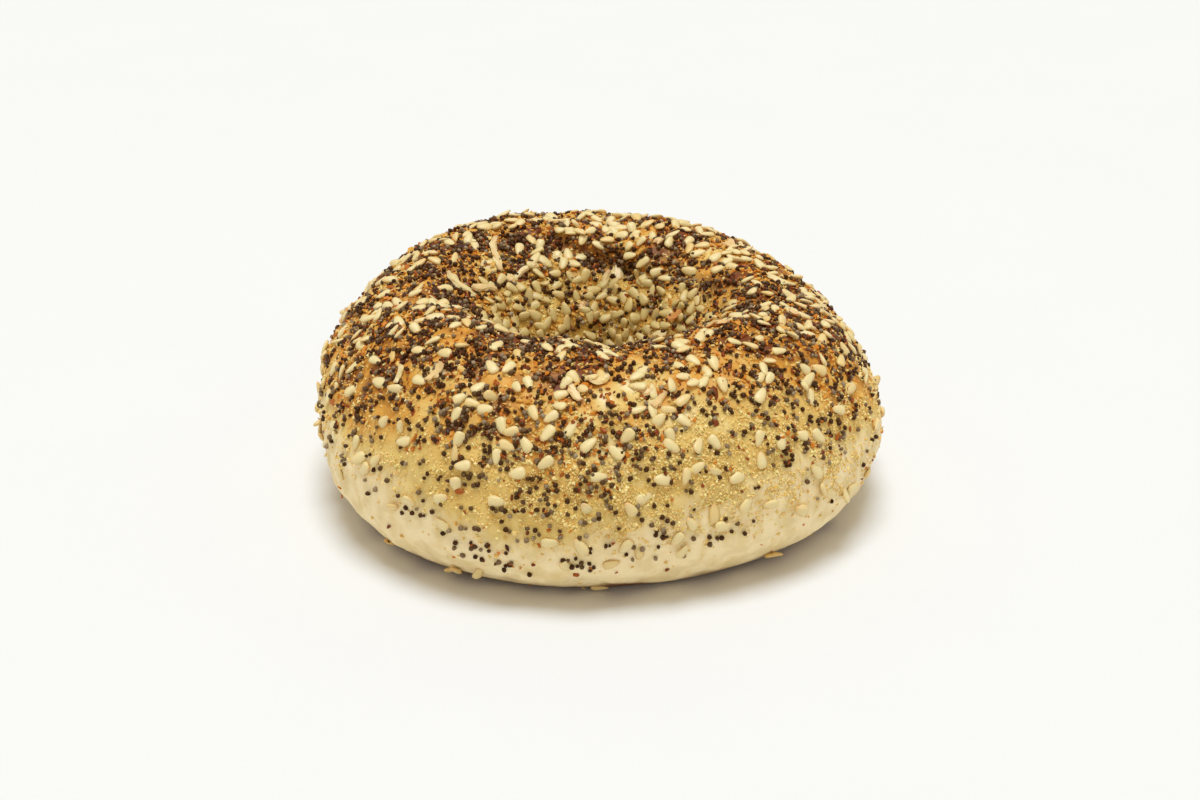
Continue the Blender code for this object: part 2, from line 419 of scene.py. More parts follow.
def dough(sizes, turn, roll):
    """Points of the dough's surface, from the two angles.

    The section is four quarter ellipses that meet at the crest, the widest line and the throat. A point is at
    crest radius + reach cos(roll) from the axis and middle + half height sin(roll) up. The throat's radius
    has one wave and two waves round the hole, and the ellipse above it is drawn back towards the crest at the
    left and right. The radius is then stretched by waves of two and three round the hole, one side is lifted,
    lumps, swellings and the fold move the point along the section's own way out, and the table cuts off what
    is below it.
    """
    turn, roll = np.broadcast_arrays(np.asarray(turn, float), np.asarray(roll, float))
    side, rise = np.cos(roll), np.sin(roll)
    outer = side > 0
    middle = np.where(outer, sizes.equator_height, sizes.throat_height)
    throat = sizes.throat_radius + sizes.hole_oval * np.cos(2 * turn) + sizes.hole_shift * np.cos(turn)
    reach = np.where(outer, sizes.width / 2 - sizes.crest_radius, sizes.crest_radius - throat)
    half_height = np.where(rise > 0, sizes.height - middle, middle / math.sin(sizes.base_roll))
    hollow = np.where(outer | (rise < 0), 0, sizes.hollow * np.cos(turn) ** 2 * (1 + side))
    radius = sizes.crest_radius + reach * side * (1 - hollow)
    height = middle + half_height * rise

    uneven = sizes.oval * np.cos(2 * (turn - sizes.oval_turn))
    uneven = uneven + sizes.three_sided * np.cos(3 * (turn - sizes.three_sided_turn))
    radius = radius * (1 + uneven)
    height = height + sizes.high_side * np.cos(turn - sizes.high_side_turn) * height / sizes.height

    lump = np.zeros_like(radius)
    for size, round_hole, round_section, shift in LUMPS:
        lump = lump + size * np.sin(round_hole * turn + shift) * np.cos(round_section * roll + shift)
    for size, middle in SWELLINGS:
        lump = lump + size * hill(turn, middle, SWELLING_SPREAD) * np.clip(rise, 0, 1) ** 2
    fold = bell(away_from(turn, sizes.fold_turn), sizes.fold_spread)
    lump = lump - sizes.fold_depth * fold * np.clip(-side, 0, 1)
    lump = lump * np.clip((rise + 0.95) / 0.7, 0, 1)
    radius = radius + lump * side
    height = np.maximum(height + lump * rise, 0)
    east = radius * np.cos(turn) + CENTRING[0]
    north = radius * np.sin(turn) + CENTRING[1]
    return np.stack([east, north, height], axis=-1)


def crust_frame(sizes, turn, roll):
    """At each place the point, the unit ways along the turn, up the roll and out, and the area of the angles.

    Each way is the difference of the surface between two near angles; out is the cross product of the two
    differences, and its length is the area that a step of both angles covers.
    """
    step = 1e-4
    along = dough(sizes, turn + step, roll) - dough(sizes, turn - step, roll)
    up = dough(sizes, turn, roll + step) - dough(sizes, turn, roll - step)
    out = np.cross(along, up)
    area = np.linalg.norm(out, axis=-1)
    along = along / np.linalg.norm(along, axis=-1, keepdims=True)
    out = out / np.maximum(area, 1e-16)[..., None]
    return dough(sizes, turn, roll), along, np.cross(out, along), out, area / (2 * step) ** 2


def lip_roll(turn):
    """The roll of the groove under the back lip, which slants with the turn."""
    return math.radians(LIP_ROLL) + LIP_SLANT * (turn - math.radians(LIP_TURN))


def under_lip_shade_line(turn, roll):
    """1 along the line under the back lip where its shade falls, fading above and below it and towards its
    two ends.
    """
    return hill(turn, LIP_TURN + 8, 1.3 * LIP_SPREAD) * bell(roll - lip_roll(turn), math.radians(5))


def hollow_relief(turn, roll):
    """Height of the forms in the hollow: the hanging back lip with a groove under it, and upright ridges.

    Across the lip's line a narrow hill is taken off for the groove, and a wider one is added above it. Both
    fade with the turn. The ridges are a wave of the turn under a hill of the roll.
    """
    below = roll - lip_roll(turn)
    groove = LIP_GROOVE * bell(below, math.radians(4.5))
    swelling = LIP_SWELLING * bell(below + math.radians(12), math.radians(6))
    wall = bell(roll - math.radians(152), math.radians(16))
    ridges = RIDGES * np.sin(RIDGES_ROUND * turn + 1.5 * np.sin(3 * turn)) * wall
    return hill(turn, LIP_TURN, LIP_SPREAD) * (swelling - groove) + ridges


def relief(points, turn, roll):
    """Height of the relief on the dough.

    It is ripples of each length times its height, gone where the table pressed, and the forms of the hollow,
    less the depth by which the crust lies under its toppings.
    """
    height = np.zeros(points.shape[:-1])
    for number, (size, wavelength) in enumerate(RELIEF):
        height += size * ripples(points, wavelength, 100 + number)
    sink = TOPPED_SINK * climb(roll, 10, 45) * fade_in_hole(roll)
    return height * smooth(np.sin(roll), -0.85, -0.5) + hollow_relief(turn, roll) - sink


def patches(turn, roll, places):
    """Hills in both angles, summed: each place is a turn, a roll and a spread in degrees, then a height."""
    total = np.zeros(np.broadcast(turn, roll).shape)
    for middle, line, spread, height in places:
        total += height * hill(turn, middle, spread) * hill(roll, line, spread)
    return total


def toast_and_lip_shade(turn, roll, points):
    """How brown the crust is, 0 to 1.

    It turns golden in a first rise low on the side, lowest at the front, and brown in a second where the
    toppings grow thick: less so in the hole, and more over the crest and in the darker patches. Along the
    line under the back lip, and in the first darker patch below it, the darkening is painted shade. The brown
    is mottled by ripples. The pale band below has faint upright streaks, which are ripples of the points with
    their height pressed small.
    """
    gold_edge = math.radians(19) - math.radians(22) * hill(turn, -100, 20)
    golden = climb(roll, -13, 13, gold_edge)
    browned = climb(roll, -20, 28, dense_edge(turn)) * (1 - 0.6 * climb(roll, 118, 142))
    mottle = 0.16 * ripples(points, 13 * MM, 201) + 0.11 * ripples(points, 5 * MM, 202)
    streaks = 0.035 * ripples(points * np.array([1, 1, 0.1]), 2.2 * MM, 203) * (1 - golden)
    # Along the line under the back lip the crust is painted darker: painted shade in the groove, on top of
    # its own browning
    high = 0.12 * climb(roll, 60, 90) + patches(turn, roll, DARK_PATCHES) + 0.3 * under_lip_shade_line(turn, roll)
    return np.clip(0.25 * golden + browned * (0.34 + mottle + high) + streaks + 0.03, 0, 1)


def lower_edge(turn):
    """The roll at which toppings begin, wandering by two waves round the hole."""
    wander = 0.6 * np.sin(2 * turn + 1.1) + 0.4 * np.sin(5 * turn + 0.4)
    return TOPPED_ROLL + TOPPED_WANDER * wander


def dense_edge(turn):
    """The roll at which toppings grow thick: a wave of five round the hole, and higher at the front right."""
    bare = math.radians(16) * hill(turn, -70, 24)
    return DENSE_ROLL + DENSE_WANDER * np.sin(5 * turn) + bare


def fade_in_hole(roll):
    """Full down to well inside the hole, then nothing."""
    return np.clip((HOLE_ROLL - roll) / (2 * TOPPED_FADE), 0, 1)


def topping_share(turn, roll):
    """How thickly toppings lie, 0 to 1: full over the crest, thinning low on the side and in the hole."""
    return smooth(roll, lower_edge(turn), lower_edge(turn) + TOPPED_FADE) * fade_in_hole(roll)


def covered(turn, roll):
    """The share of the toppings left by the bare patches, which end well inside the hole."""
    return (1 - np.clip(patches(turn, roll, BARE_PATCHES), 0, 1)) * fade_in_hole(roll)


def poppy_share(turn, roll, points):
    """Poppy seeds: a few from the lower edge up, most at the front, and more over the top and under the lip.

    They lie in tight groups, thicker in their patches and missing from the bare ones.
    """
    few = 0.06 * (0.08 + 0.92 * hill(turn, -100, 24))
    few *= smooth(roll, lower_edge(turn), lower_edge(turn) + TOPPED_FADE)
    many = 0.06 * climb(roll, -12, 8, dense_edge(turn)) + 0.16 * climb(roll, 12, 45, dense_edge(turn))
    many *= 1 - 0.35 * hill(turn, -35, 35)
    # More poppy seeds along the shaded line under the back lip: partly the real seeds there, partly standing
    # in for its shade
    many += patches(turn, roll, POPPY_PATCHES) + 0.6 * under_lip_shade_line(turn, roll)
    groups = gathering(points, -0.3, (0.5, 8, 301), (1.4, 2.4, 302))
    return (few + many) * groups * covered(turn, roll) * (1 - 0.5 * climb(roll, 130, 150))


def onion_bit_share(turn, roll, points):
    """Toasted onion bits: gathered as the poppy seeds are, thickest over the crest, few in the hollow."""
    many = 0.002 + 0.10 * climb(roll, -8, 15, dense_edge(turn)) + 0.45 * climb(roll, 10, 50, dense_edge(turn))
    many *= 1 - 0.7 * climb(roll, 125, 142)
    # More dark onion bits along the shaded line under the back lip, partly standing in for its shade
    many += 0.12 * hill(turn, -92, 16) * hill(roll, 37, 11) + 0.4 * under_lip_shade_line(turn, roll)
    many *= 1 - 0.35 * hill(turn, 98, 30)
    many += 0.8 * patches(turn, roll, POPPY_PATCHES)
    return many * gathering(points, -0.3, (0.6, 8, 301), (1.1, 2.4, 302)) * covered(turn, roll)


def garlic_bit_share(turn, roll, points):
    """Golden garlic bits: from half way up the side, over the top and the hollow, in groups of their own."""
    many = 0.002 + 0.4 * climb(roll, -15, 40, dense_edge(turn))
    return many * gathering(points, 0, (0.7, 8, 306)) * covered(turn, roll)


def granule_share(turn, roll, points):
    """Golden granules: thickest half way up the side at the front right, some between the hollow's seeds."""
    band = hill(roll, 24, 14) * (0.07 + 0.93 * hill(turn, -74, 27))
    top = 0.06 * climb(roll, 20, 50) + 0.20 * climb(roll, 118, 135)
    return (band + top) * gathering(points, 0, (0.5, 7, 304), (0.6, 2, 307)) * fade_in_hole(roll)


def seed_share(turn, roll, points):
    """The sesame seeds beside the shared ones: in groups and patches, more of them towards the hollow."""
    high = 0.05 + 0.08 * climb(roll, 30, 60) + 0.12 * climb(roll, 60, 90) + 0.12 * climb(roll, 118, 134)
    high += patches(turn, roll, SESAME_PATCHES) - 0.7 * under_lip_shade_line(turn, roll)
    groups = gathering(points, -0.2, (0.8, 7, 305))
    return topping_share(turn, roll) * covered(turn, roll) * groups * np.maximum(high, 0)


def hollow_seed_share(turn, roll, points):
    """The small sesame seeds packed down in the hollow, most of them at its back."""
    return climb(roll, 120, 132) * (0.25 + 0.75 * hill(turn, 90, 45)) * fade_in_hole(roll)


def shared_seeds(sizes, draw):
    """Turns and rolls of the sesame seeds that the solid has, drawn one by one by the solid's rule."""
    farthest = sizes.width / 2 * (1 + sizes.oval + sizes.three_sided)
    found, places = [], np.empty((0, 3))
    while len(found) < SHARED_SEEDS:
        turn = draw.uniform(-math.pi, math.pi)
        roll = draw.uniform(-math.pi / 3, 7 * math.pi / 6)
        place = dough(sizes, turn, roll)
        chance = np.hypot(place[0], place[1]) / farthest * topping_share(turn, roll)
        if draw.random() > chance:
            continue
        if len(places) and np.linalg.norm(places - place, axis=1).min() < SHARED_GAP:
            continue
        found.append((turn, roll))
        places = np.vstack([places, place])
    return np.array(found)


def is_clear(points, others, distance):
    """Which points have none of the others nearer than the distance."""
    if not len(others):
        return np.ones(len(points), bool)
    return ((points[:, None] - others[None]) ** 2).sum(axis=2).min(axis=1) > distance**2


def strew(sizes, draw, count, share, gap=0.0, taken=np.empty((0, 3)), clear=0.0):
    """Turns and rolls of toppings drawn at random by the crust's area and by their share there.

    Draws come in batches. One is kept if a random number is under its share times its area over the largest
    area, and if no taken place is nearer than the clear distance, and no kept one or earlier one of its batch
    nearer than the gap.
    """
    # The area is largest about the widest line, where it is uneven
    most_area = crust_frame(sizes, 0.0, 0.0)[4] * 1.15
    angles, places = np.empty((0, 2)), np.empty((0, 3))
    for _ in range(MOST_BATCHES):
        if len(angles) >= count:
            return angles[:count]
        turn = draw.uniform(-math.pi, math.pi, BATCH)
        roll = draw.uniform(-math.pi / 3, 7 * math.pi / 6, BATCH)
        point, _, _, _, area = crust_frame(sizes, turn, roll)
        kept = draw.random(BATCH) < share(turn, roll, point) * area / most_area
        drawn, point = np.column_stack([turn, roll])[kept], point[kept]
        if gap:
            kept = is_clear(point, taken, clear) & is_clear(point, places, gap)
            drawn, point = drawn[kept], point[kept]
            near = ((point[:, None] - point[None]) ** 2).sum(axis=2) < gap**2
            kept = ~np.tril(near, -1).any(axis=1)
            drawn, point = drawn[kept], point[kept]
            places = np.vstack([places, point])
        angles = np.vstack([angles, drawn])
    raise RuntimeError(f"The crust has no room for {count} of these toppings")


def ball(rings, sides):
    """Points and triangles of a unit ball with its poles on X.

    A ring at angle a from the pole is a circle of radius sin a at x = cos a; the rings are joined by pairs of
    triangles and closed by a fan at each pole.
    """
    a = math.pi * np.arange(1, rings + 1)[:, None] / (rings + 1)
    b = 2 * math.pi * np.arange(sides) / sides
    middle = np.stack(np.broadcast_arrays(np.cos(a), np.sin(a) * np.cos(b), np.sin(a) * np.sin(b)), axis=-1)
    points = np.vstack([[[1, 0, 0]], middle.reshape(-1, 3), [[-1, 0, 0]]])
    here = 1 + np.arange(rings * sides).reshape(rings, sides)
    ahead = np.roll(here, -1, axis=1)
    first = np.column_stack([np.zeros(sides, int), here[0], ahead[0]])
    last = np.column_stack([np.full(sides, len(points) - 1), ahead[-1], here[-1]])
    lower = np.stack([here[:-1], here[1:], ahead[1:]], axis=-1).reshape(-1, 3)
    upper = np.stack([here[:-1], ahead[1:], ahead[:-1]], axis=-1).reshape(-1, 3)
    return points, np.vstack([first, lower, upper, last])


def lay(sizes, shapes, angles, spin, lift, lean, tilt):
    """Lays each shape on the crust at its angles.

    Its X goes along the crust at the spin from the way round the hole, its Z out of the crust, after a lean
    about its own Y and a tilt about its own X; then it is lifted, raised clear of the table and lowered under
    the greatest height.
    """
    turn, roll = angles.T
    point, along, up, out, _ = crust_frame(sizes, turn, roll)
    point = point + (relief(point, turn, roll) + lift)[:, None] * out
    spin = spin[:, None]
    forward = np.cos(spin) * along + np.sin(spin) * up
    across = np.cross(out, forward)
    lean, tilt = lean[:, None], tilt[:, None]
    forward, out = np.cos(lean) * forward - np.sin(lean) * out, np.sin(lean) * forward + np.cos(lean) * out
    across, out = np.cos(tilt) * across + np.sin(tilt) * out, np.cos(tilt) * out - np.sin(tilt) * across
    ways = np.stack([forward, across, out], axis=1)
    placed = np.einsum("nvk,nkj->nvj", shapes, ways) + point[:, None, :]
    placed[..., 2] -= np.maximum(placed[..., 2].max(axis=1) - TOPPING_TOP, 0)[:, None]
    placed[..., 2] += np.maximum(-placed[..., 2].min(axis=1), 0)[:, None]
    return placed


def make_mesh(name, points, faces, smooth_shading=True, **attributes):
    """A mesh of points and of faces that have as many corners each, with attributes of a number a point."""
    mesh = bpy.data.meshes.new(name)
    mesh.vertices.add(len(points))
    mesh.vertices.foreach_set("co", points.astype(np.float32).ravel())
    mesh.loops.add(faces.size)
    mesh.loops.foreach_set("vertex_index", faces.astype(np.int32).ravel())
    mesh.polygons.add(len(faces))
    mesh.polygons.foreach_set("loop_start", np.arange(0, faces.size, faces.shape[1], dtype=np.int32))
    mesh.update(calc_edges=True)
    mesh.polygons.foreach_set("use_smooth", np.full(len(faces), smooth_shading))
    for attribute, values in attributes.items():
        layer = mesh.attributes.new(attribute, "FLOAT", "POINT")
        layer.data.foreach_set("value", values.astype(np.float32).ravel())
    return mesh


def join_toppings(name, placed, faces, smooth_shading=True, **tones):
    """One mesh of all the placed shapes, which share their faces. A tone is a number a shape or a point."""
    count, corners = placed.shape[:2]
    all_faces = faces[None] + corners * np.arange(count)[:, None, None]
    spread = {key: np.broadcast_to(tone.reshape(count, -1), (count, corners)) for key, tone in tones.items()}
    return make_mesh(name, placed.reshape(-1, 3), all_faces.reshape(-1, 3), smooth_shading, **spread)


def show_piece(mesh, material):
    """Puts the mesh in the scene as a piece that rides on the bagel's one body."""
    piece = bpy.data.objects.new(mesh.name, mesh)
    bpy.context.scene.collection.objects.link(piece)
    mesh.materials.append(material)
    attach(piece, "root")
    return piece


class Value:
    """An output of a node that arithmetic can be written on: each operator adds a Math node."""

    def __init__(self, finish, socket):
        self.finish = finish
        self.socket = socket

    def math(self, operation, first, second):
        return self.finish.node("ShaderNodeMath", {"operation": operation}, {0: first, 1: second})

    def __add__(self, other):
        return self.math("ADD", self, other)

    __radd__ = __add__

    def __sub__(self, other):
        return self.math("SUBTRACT", self, other)

    def __rsub__(self, other):
        return self.math("SUBTRACT", other, self)

    def __mul__(self, other):
        return self.math("MULTIPLY", self, other)

    __rmul__ = __mul__


class Finish:
    """One material: its Principled shader and the nodes that feed it."""

    def __init__(self, name, constants):
        self.material = bpy.data.materials.new(name)
        self.material.use_nodes = True
        self.tree = self.material.node_tree
        self.shader = self.tree.nodes["Principled BSDF"]
        for socket, value in constants.items():
            self.shader.inputs[socket].default_value = value
        sockets = {0: self.node("ShaderNodeTexCoord", {}, {}, "Object"), "Scale": 1 / MM}
        self.millimetres = self.node("ShaderNodeVectorMath", {"operation": "SCALE"}, sockets)

    def node(self, kind, settings, sockets, output=0):
        """Adds a node, gives it its settings, then its sockets' values or links, and returns one output."""
        node = self.tree.nodes.new(kind)
        for name, setting in settings.items():
            if name == "stops":
                self.set_stops(node.color_ramp, setting)
            else:
                setattr(node, name, setting)
        for name, value in sockets.items():
            if isinstance(value, Value):
                self.tree.links.new(value.socket, node.inputs[name])
            else:
                node.inputs[name].default_value = value
        return Value(self, node.outputs[output])

    def set_stops(self, ramp, stops):
        while len(ramp.elements) < len(stops):
            ramp.elements.new(1.0)
        for element, (position, shade) in zip(ramp.elements, stops):
            element.position = position
            element.color = (*shade, 1.0)

    def feed(self, socket, value):
        self.tree.links.new(value.socket, self.shader.inputs[socket])

    def attribute(self, name):
        return self.node("ShaderNodeAttribute", {"attribute_name": name}, {}, "Fac")

    def noise(self, millimetres, detail=2.0, roughness=0.5):
        """Noise about 0 to 1 whose lumps are this many millimetres across."""
        sockets = {"Vector": self.millimetres, "Scale": 1 / millimetres}
        sockets.update({"Detail": detail, "Roughness": roughness})
        return self.node("ShaderNodeTexNoise", {}, sockets, "Fac")

    def cells(self, millimetres):
        """Distance from the nearest of random points this many millimetres apart."""
        sockets = {"Vector": self.millimetres, "Scale": 1 / millimetres}
        return self.node("ShaderNodeTexVoronoi", {}, sockets, "Distance")

    def ease(self, value, start, end):
        """0 at the start, 1 at the end, easing in and out."""
        sockets = {"Value": value, "From Min": start, "From Max": end}
        return self.node("ShaderNodeMapRange", {"interpolation_type": "SMOOTHSTEP"}, sockets)

    def ramp(self, value, *stops):
        return self.node("ShaderNodeValToRGB", {"stops": stops}, {"Fac": value})

    def mix(self, share, first, second):
        sockets = {0: share, 6: as_colour(first), 7: as_colour(second)}
        return self.node("ShaderNodeMix", {"data_type": "RGBA"}, sockets, 2)

    def bump(self, height, millimetres):
        sockets = {"Height": height, "Distance": millimetres * MM, "Strength": 1.0}
        self.feed("Normal", self.node("ShaderNodeBump", {}, sockets))


def as_colour(value):
    return value if isinstance(value, Value) else (*value, 1.0)


def crust_finish(colours):
    """Baked crust: pale to brown by its toast and painted lip shade, mottled, speckled, sandy half way up,
    brown at the base with painted contact shade.
    """
    soft = {"Subsurface Weight": 0.06, "Subsurface Scale": 1.2 * MM, "Subsurface Radius": (1.0, 0.55, 0.25)}
    finish = Finish("baked_crust", {**soft, **DRY})
    toast = finish.attribute("toast")
    sandy = finish.attribute("sandy")
    coarse = finish.noise(6.0, 3.0)
    fine = finish.noise(0.9, 3.0, 0.6)
    grain = finish.noise(0.35, 2.0, 0.6)
    level = toast + 0.22 * (coarse - 0.5) + (toast + 0.3 * sandy) * (0.6 * (fine - 0.5)) + 0.04 * sandy
    shade = finish.ramp(
        level,
        (0.04, colours.pale_dough),
        (0.26, colours.golden_crust),
        (0.58, colours.toasted_crust),
        (0.95, colours.brown_crust),
    )
    olive = finish.ease(finish.noise(4.0, 2.0), 0.45, 0.65)
    shade = finish.mix(0.35 * (olive * (1 - toast)), shade, colours.olive_crust)
    shade = finish.mix(finish.attribute("hole"), shade, colours.hole_crust)
    shade = finish.mix(0.5 * (finish.ease(grain, 0.56, 0.70) * toast), shade, colours.brown_crust)
    grit = 1 - finish.ease(finish.cells(0.55), 0.15, 0.45)
    crumb = finish.mix(finish.ease(finish.noise(0.7), 0.45, 0.6), colours.granule_gold, colours.granule_pale)
    shade = finish.mix(0.7 * (grit * sandy), shade, crumb)
    # The lowest few millimetres are painted dark brown: the crust's own browning at the base, widened as
    # painted contact shade
    shade = finish.mix(finish.attribute("base"), shade, colours.base_crust_and_contact_shade)
    finish.feed("Base Color", shade)
    finish.feed("Roughness", 0.62 - 0.16 * toast + 0.16 * (fine - 0.5))
    finish.bump(0.6 * fine + 0.4 * grain + 0.8 * (grit * sandy), 0.22)
    return finish.material


def sesame_finish(colours):
    """Hulled sesame: cream to toasted gold by its tone, painted darker in the hollow as shade, darker at its
    rim from its border and painted shade, orange at its tip.
    """
    finish = Finish("sesame_seed", {"Subsurface Weight": 0.15, "Subsurface Scale": 0.6 * MM})
    tone = finish.attribute("tone") + 0.25 * (finish.noise(0.8) - 0.5)
    shade = finish.ramp(tone, (0.15, colours.sesame), (1.0, colours.sesame_toasted))
    # Down in the hollow the seeds are painted darker and yellower: painted shade
    shade = finish.mix(finish.attribute("deep"), shade, colours.shaded_hollow_sesame)
    # The seed's thin edge is painted darker and yellower: partly its own border, partly painted shade where
    # its surface turns from the light
    shade = finish.mix(0.34 * finish.attribute("rim"), shade, colours.sesame_toasted)
    tip = finish.ease(finish.attribute("tip"), 0.82, 1.0)
    shade = finish.mix(0.25 * tip, shade, colours.bit_orange)
    finish.feed("Base Color", shade)
    finish.feed("Roughness", 0.42 + 0.2 * (finish.noise(0.5) - 0.5))
    finish.bump(finish.noise(0.3), 0.04)
    return finish.material


def poppy_finish(colours):
    """Poppy seed: near-black to slate and grey by the seed's tone, pitted."""
    finish = Finish("poppy_seed", {"Specular IOR Level": 0.3, "Specular Tint": (1.0, 0.72, 0.5, 1.0)})
    shade = finish.ramp(
        finish.attribute("tone") + 0.2 * (finish.noise(0.4) - 0.5),
        (0.10, colours.poppy_dark),
        (0.40, colours.poppy_dark),
        (0.75, colours.poppy_slate),
        (1.0, colours.poppy_grey),
    )
    finish.feed("Base Color", shade)
    finish.feed("Roughness", 0.38 + 0.2 * (finish.noise(0.3) - 0.5))
    finish.bump(finish.cells(0.2), 0.05)
    return finish.material


def bit_finish(name, stops):
    """Bits of onion or garlic: coloured by the bit's tone through these stops."""
    finish = Finish(name, DRY)
    tone = finish.attribute("tone") + 0.22 * (finish.noise(0.5) - 0.5)
    finish.feed("Base Color", finish.ramp(tone, *stops))
    finish.feed("Roughness", 0.5 + 0.3 * (finish.noise(0.4) - 0.5))
    finish.bump(finish.noise(0.25), 0.05)
    return finish.material


def granule_finish(colours):
    """Fine golden granules, each with a tone of its own."""
    finish = Finish("golden_granule", {"Subsurface Weight": 0.2, "Subsurface Scale": 0.4 * MM})
    tone = finish.attribute("tone")
    finish.feed("Base Color", finish.mix(tone, colours.granule_gold, colours.granule_pale))
    finish.feed("Roughness", 0.3 + 0.2 * tone)
    return finish.material


def onion_finish(colours):
    """Dried onion: pale straw, some of it more toasted, with browner ends and a fine grain."""
    finish = Finish("onion_flake", {"Subsurface Weight": 0.2, "Subsurface Scale": 0.8 * MM})
    tone = finish.attribute("tone")
    shade = finish.mix(0.8 * tone, colours.onion, colours.bit_orange)
    tip = finish.ease(finish.attribute("tip"), 0.6, 1.0)
    shade = finish.mix(0.3 * tip, shade, colours.bit_red)
    finish.feed("Base Color", shade)
    finish.feed("Roughness", 0.4 + 0.3 * (finish.noise(0.6) - 0.5))
    finish.bump(finish.noise(0.4, 3.0), 0.08)
    return finish.material


def settings(context):
    """The dough's sizes, the toppings' sizes and numbers, and the colours."""
    scene = context.scene
    return scene.bagel_dough, scene.bagel_toppings, scene.bagel_colours


class BAGEL_OT_add_crust(bpy.types.Operator):
    """Add the baked crust, which takes the place of the bagel's solid"""

    bl_idname = "bagel.add_crust"
    bl_label = "Crust"

    def execute(self, context):
        sizes, _, colours = settings(context)
        turn = 2 * math.pi * np.arange(STEPS_ROUND_HOLE)[:, None] / STEPS_ROUND_HOLE
        turn = np.where(turn > math.pi, turn - 2 * math.pi, turn)
        roll = -math.pi / 2 + 2 * math.pi * np.arange(STEPS_ROUND_SECTION)[None, :] / STEPS_ROUND_SECTION
        turn, roll = np.broadcast_arrays(turn, roll)
        point, _, _, out, _ = crust_frame(sizes, turn, roll)
        point = point + relief(point, turn, roll)[..., None] * out
        point[..., 2] = np.maximum(point[..., 2], 0)
        foot = point[..., 2] + 0.7 * MM * ripples(point, 6 * MM, 204)
        here = np.arange(turn.size).reshape(turn.shape)
        ahead = np.roll(here, -1, axis=0)
        faces = np.stack([here, ahead, np.roll(ahead, -1, axis=1), np.roll(here, -1, axis=1)], axis=-1)
        mesh = make_mesh(
            "crust",
            point.reshape(-1, 3),
            faces.reshape(-1, 4),
            toast=toast_and_lip_shade(turn, roll, point),
            sandy=np.clip(granule_share(turn, roll, point), 0, 1),
            hole=0.8 * climb(roll, 108, 136),
            # Dark band at the foot: real browning, widened as painted contact shade
            base=0.95 * (1 - smooth(foot, 0.6 * MM, 3.6 * MM)),
        )
        piece = show_piece(mesh, crust_finish(colours))
        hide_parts("bagel")
        return {"FINISHED"}


def sesame_places(sizes, toppings):
    """The sesame seeds' angles, spins, leans, sizes and lifts.

    The shared seeds come first, then more, then the small ones of the hollow, and last those low on the side.
    """
    draw = np.random.default_rng(SHARED_DRAW)
    shared = shared_seeds(sizes, draw)
    own = np.array([[draw.uniform(0, 2 * math.pi), draw.uniform(-1, 1), draw.uniform(-1, 1)] for _ in shared])
    draw = np.random.default_rng(DRAWS["more_sesame"])
    taken = dough(sizes, shared[:, 0], shared[:, 1])
    more = strew(sizes, draw, toppings.more_seeds, seed_share, SEED_GAP, taken, SEED_CLEAR)
    taken = np.vstack([taken, dough(sizes, *more.T)])
    small = strew(sizes, draw, toppings.hollow_seeds, hollow_seed_share, HOLLOW_GAP, taken, HOLLOW_CLEAR)
    low = np.radians(np.array(LOW_SEEDS, float))
    added = len(more) + len(small) + len(low)
    angles = np.vstack([shared, more, small, low[:, :2]])
    spin = np.concatenate([own[:, 0], draw.uniform(0, 2 * math.pi, len(more) + len(small)), low[:, 2]])
    lean = np.concatenate([SHARED_LEAN * own[:, 1], SEED_LEAN * draw.normal(size=added)])
    size = np.concatenate([1 + 0.09 * own[:, 2], draw.uniform(0.86, 1.06, added)])
    first_small = len(shared) + len(more)
    size[first_small : first_small + len(small)] *= HOLLOW_SEED_SIZE
    lift = np.concatenate([np.full(len(shared), SHARED_LIFT), draw.uniform(0.2 * MM, 0.6 * MM, added)])
    return angles, spin, lean, size, lift


class BAGEL_OT_add_sesame(bpy.types.Operator):
    """Add the sesame seeds"""

    bl_idname = "bagel.add_sesame"
    bl_label = "Sesame seeds"

    def execute(self, context):
        sizes, toppings, colours = settings(context)
        angles, spin, lean, size, lift = sesame_places(sizes, toppings)
        draw = np.random.default_rng(DRAWS["sesame"])
        count = len(angles)
        # A ball whose section narrows from one end to the other, its middle moved towards the wide end, with
        # its two ends bent up or down by the square of their distance from the middle
        points, faces = ball(6, 7)
        x = points[:, 0]
        narrow = (1 - SEED_TAPER * (x + 0.3)) * (1.02 - x**2) ** -0.08
        blunt = x - SEED_BLUNT * (1 - x**2)
        shape = np.column_stack([blunt / 2, points[:, 1] * narrow / 2, points[:, 2] * narrow / 2])
        build = np.array([toppings.seed_length, toppings.seed_width, toppings.seed_thickness])
        build = build * size[:, None] * draw.uniform(0.92, 1.06, (count, 3))
        shapes = shape[None] * build[:, None, :]
        shapes[..., 2] += 0.10 * shapes[..., 0] ** 2 / toppings.seed_length * draw.normal(size=(count, 1))
        tilt = np.where(np.arange(count) < SHARED_SEEDS, SHARED_TILT, SEED_TILT) * draw.normal(size=count)
        placed = lay(sizes, shapes, angles, spin, lift, lean, tilt)
        toast = toast_and_lip_shade(*angles.T, dough(sizes, *angles.T))
        tone = np.clip(0.08 + 0.20 * draw.normal(size=count) + 0.22 * toast, 0, 1)
        tone[-len(LOW_SEEDS):] = draw.uniform(0.3, 0.9, len(LOW_SEEDS))
        # How far down in the hollow a seed lies, for its painted shade
        deep = 0.85 * climb(angles[:, 1], 112, 136)
        tip = np.broadcast_to((x + 1) / 2, (count, len(x)))
        # 1 at the seed's thin edge, for its border colour and painted edge shade
        rim = np.broadcast_to(1 - np.abs(points[:, 2]), (count, len(x)))
        mesh = join_toppings("sesame", placed, faces, tone=tone, tip=tip, rim=rim, deep=deep)
        show_piece(mesh, sesame_finish(colours))
        return {"FINISHED"}


